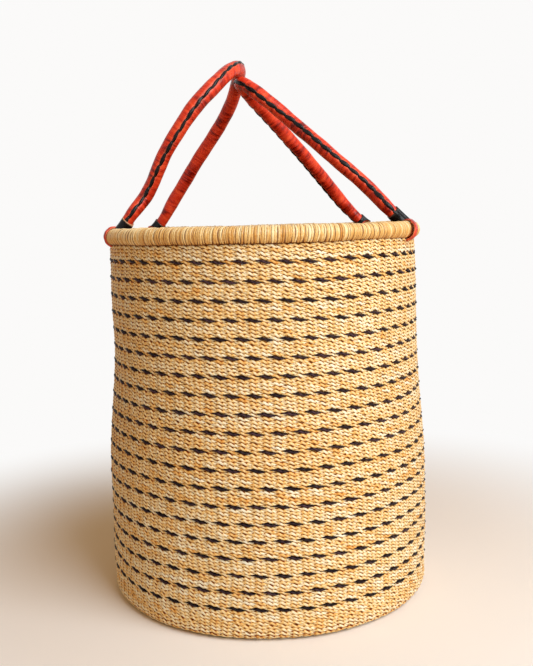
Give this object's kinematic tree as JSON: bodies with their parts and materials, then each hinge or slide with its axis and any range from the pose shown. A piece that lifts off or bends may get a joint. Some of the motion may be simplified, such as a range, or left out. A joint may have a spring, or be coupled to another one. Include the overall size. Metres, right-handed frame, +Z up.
{
  "type": "bolga basket",
  "caption": "Tall round twined grass basket with dark dashed courses, a bound roll rim and two leather-covered loop handles that fold outwards.",
  "frame": {"origin": "middle of the base's underside, on the floor", "axes": "+Z up through the middle of the basket, -Y towards the front, +X to the right"},
  "size_m": [0.4168, 0.4168, 0.6747],
  "materials": {
    "natural_grass": "dry straw, slight sheen",
    "core_grass": "dry straw, matte",
    "dyed_grass": "dyed straw, matte",
    "red_leather": "smooth goat leather, wrinkled",
    "black_leather": "smooth goat leather"
  },
  "bodies": {
    "basket": {"outside_weave": "natural_grass", "stake_frame": "core_grass", "inside_weave": "natural_grass", "dark_course_01": "dyed_grass", "dark_course_02": "dyed_grass", "dark_course_03": "dyed_grass", "dark_course_04": "dyed_grass", "dark_course_05": "dyed_grass", "dark_course_06": "dyed_grass", "dark_course_07": "dyed_grass", "dark_course_08": "dyed_grass", "dark_course_09": "dyed_grass", "dark_course_10": "dyed_grass", "dark_course_11": "dyed_grass", "dark_course_12": "dyed_grass", "dark_course_13": "dyed_grass", "dark_course_14": "dyed_grass", "dark_course_15": "dyed_grass", "dark_course_16": "dyed_grass", "dark_course_17": "dyed_grass", "dark_course_18": "dyed_grass", "dark_course_19": "dyed_grass", "dark_course_20": "dyed_grass", "rim_core": "core_grass", "rim_binding": "natural_grass", "left_near_rim_strap": "red_leather", "left_far_rim_strap": "red_leather", "right_near_rim_strap": "red_leather", "right_far_rim_strap": "red_leather"},
    "left_handle": {"left_handle_core": "core_grass", "left_handle_cover": "red_leather", "left_handle_lacing": "black_leather", "left_near_collar": "black_leather", "left_far_collar": "black_leather"},
    "right_handle": {"right_handle_core": "core_grass", "right_handle_cover": "red_leather", "right_handle_lacing": "black_leather", "right_near_collar": "black_leather", "right_far_collar": "black_leather"}
  },
  "joints": [
    {"name": "left_handle_swing", "type": "hinge", "parent": "basket", "child": "left_handle", "pos_m": [-0.16881, 0.02796, 0.4575], "axis": [-0.1608, -0.987, 0], "range_deg": [0, 150]},
    {"name": "right_handle_swing", "type": "hinge", "parent": "basket", "child": "right_handle", "pos_m": [0.16303, 0.02681, 0.4575], "axis": [-0.1647, 0.9863, 0], "range_deg": [0, 162]}
  ]
}
